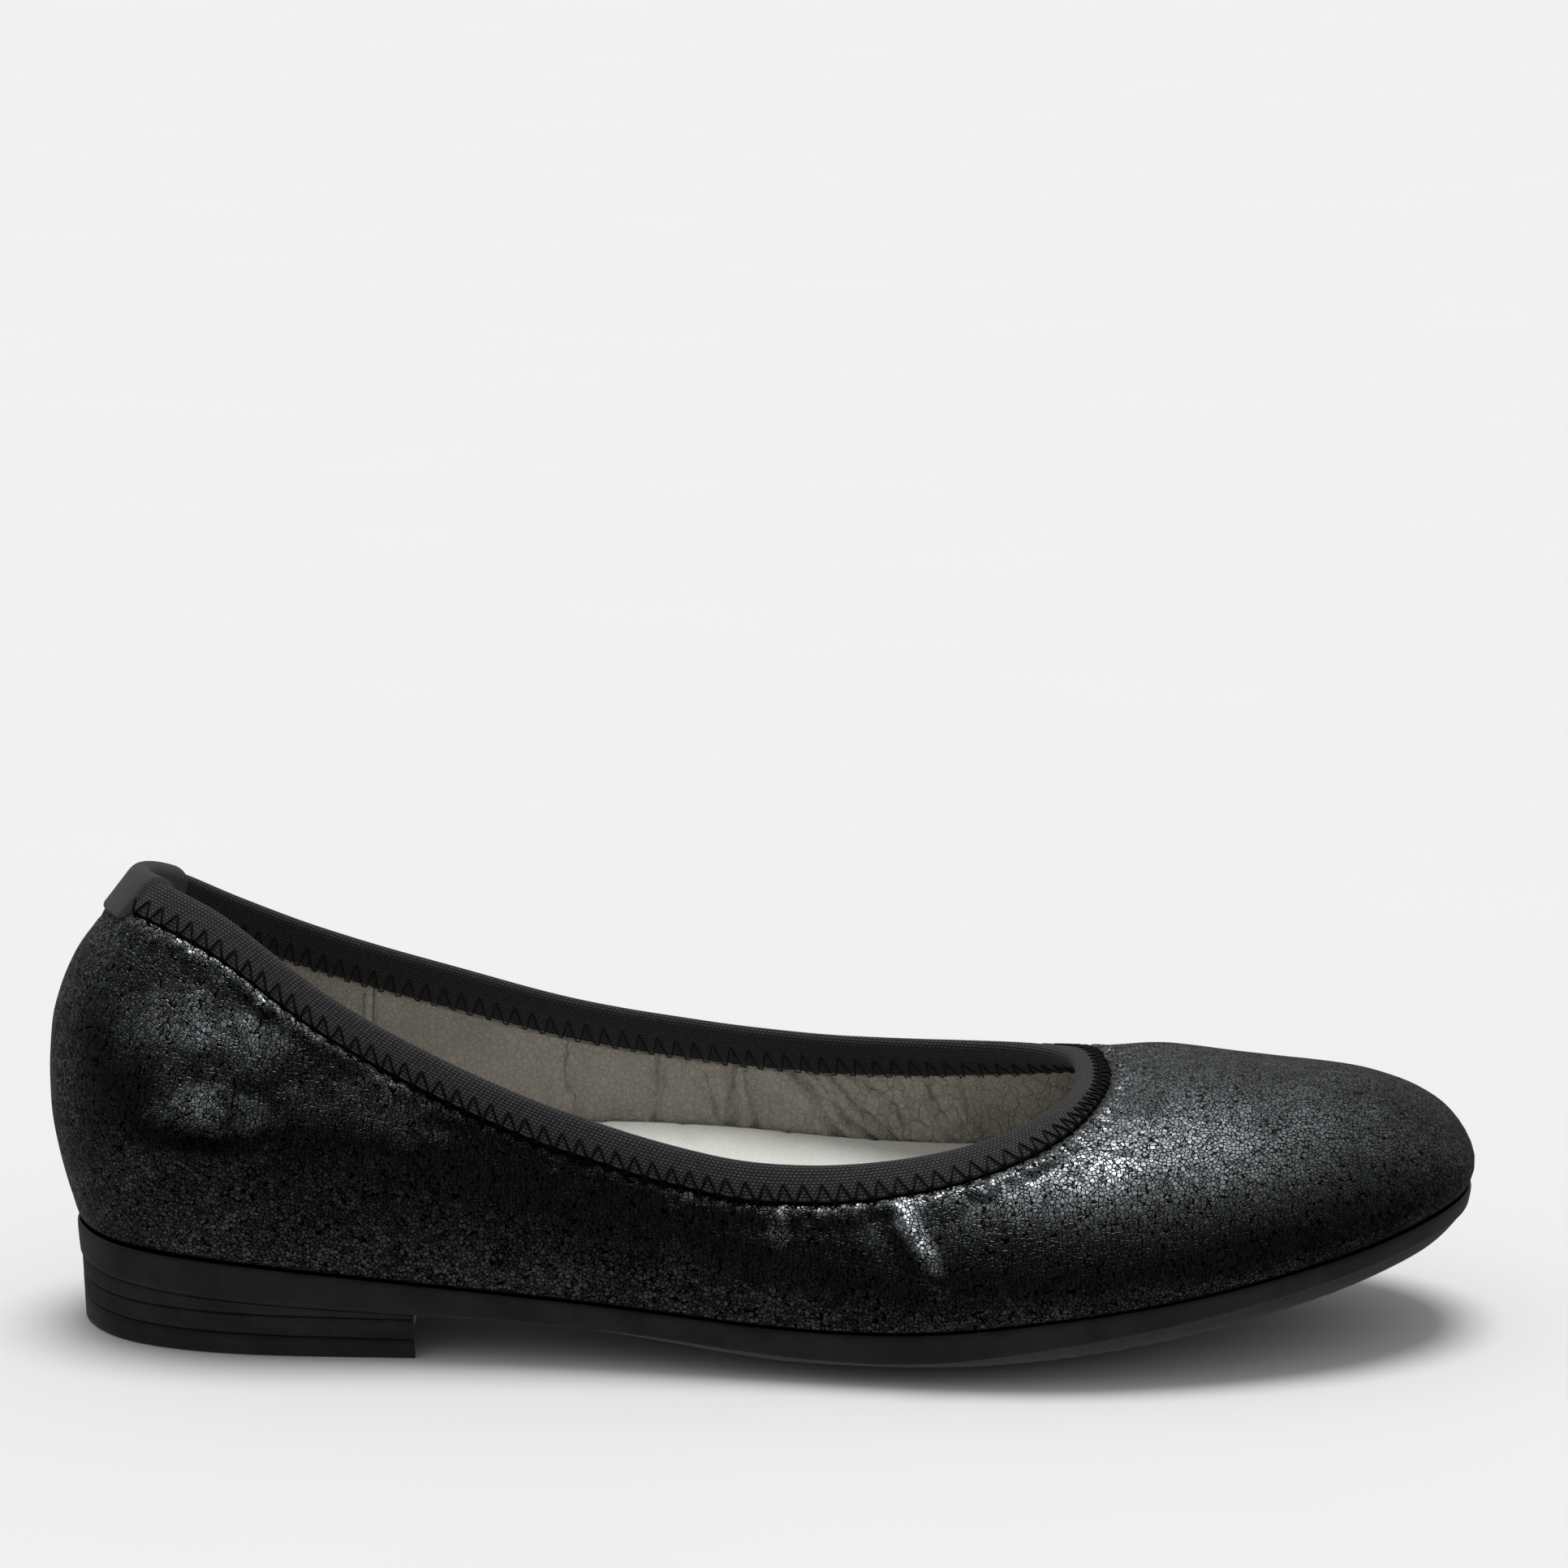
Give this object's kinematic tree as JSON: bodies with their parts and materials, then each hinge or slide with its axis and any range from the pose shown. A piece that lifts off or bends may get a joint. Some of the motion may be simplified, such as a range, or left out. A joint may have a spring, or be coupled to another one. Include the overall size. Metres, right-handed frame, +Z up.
{
  "type": "ballet flat",
  "caption": "Right-foot ballet flat with a folded elastic topline, leather lining, padded sock and a low stacked heel.",
  "frame": {"origin": "centre of the shoe's footprint box, on the ground under the heel and ball", "axes": "+X from heel to toe, +Y towards the medial side of this right shoe, +Z up"},
  "size_m": [0.2574, 0.0838, 0.0839],
  "materials": {
    "rubber": "matte moulded black rubber with a fine satin skin",
    "heel_stack": "matte black stacked heel layer, slightly grainier than the sole",
    "shank_steel": "spring steel strip",
    "cork_filler": "pressed cork filler",
    "fibre_board": "cellulose fibre board",
    "foam": "soft latex foam",
    "sock_leather": "off-white smooth leather with faint cross creases",
    "upper_leather": "near-black nubuck with a fine crackled cool metallic sheen",
    "lining_leather": "soft warm grey unfinished leather",
    "elastic_tape": "charcoal woven folded elastic",
    "ribbed_tape": "black ribbed grosgrain tape",
    "thread": "black polyester thread",
    "lining_thread": "warm grey polyester thread"
  },
  "bodies": {
    "root": {"outsole": "rubber", "heel_lift_upper": "heel_stack", "heel_lift_lower": "heel_stack", "heel_top_piece": "rubber", "shank": "shank_steel", "sole_filler": "cork_filler", "insole_board": "fibre_board", "footbed_cushion": "foam", "sock": "sock_leather", "upper_vamp_lateral": "upper_leather", "upper_medial_quarter": "upper_leather", "heel_counter": "fibre_board", "toe_puff": "fibre_board", "vamp_lining": "lining_leather", "heel_lining": "lining_leather", "topline_binding": "elastic_tape", "heel_tab": "ribbed_tape", "topline_zigzag_stitch": "thread", "medial_seam_stitch": "thread", "heel_lining_stitch_lateral": "lining_thread", "heel_lining_stitch_medial": "lining_thread"}
  },
  "joints": []
}
